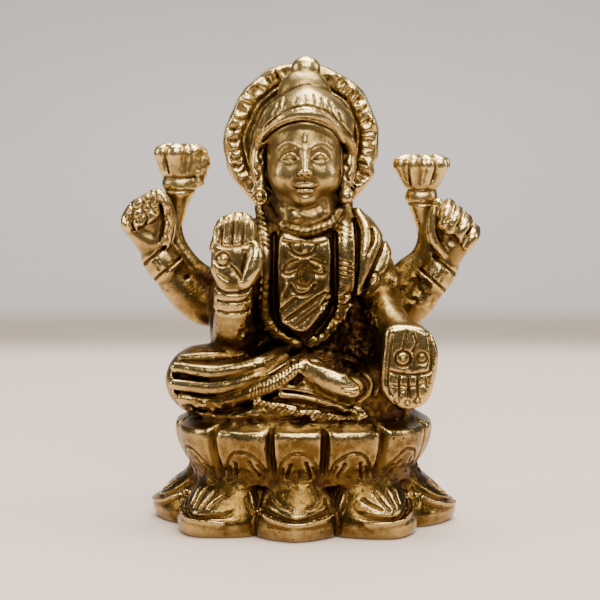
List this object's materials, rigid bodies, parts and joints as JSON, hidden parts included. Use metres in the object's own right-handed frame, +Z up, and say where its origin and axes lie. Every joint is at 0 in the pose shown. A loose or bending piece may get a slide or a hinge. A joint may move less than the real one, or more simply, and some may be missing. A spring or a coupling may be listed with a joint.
{
  "type": "lakshmi figure",
  "caption": "Small cast brass figure seated cross-legged on a double lotus plinth, with raised arms holding lotus buds and a ribbed halo.",
  "frame": {"origin": "middle of the flat underside of the lotus plinth", "axes": "+Z up, -Y the way the figure faces, +X towards the figure's left hand"},
  "size_m": [0.0557, 0.038, 0.0715],
  "materials": {
    "brass": "sand-cast brass, filed and rubbed bright on the high places, with a dark brown patina left in the recesses"
  },
  "bodies": {
    "root": {"lakshmi_figure": "brass"}
  },
  "joints": []
}
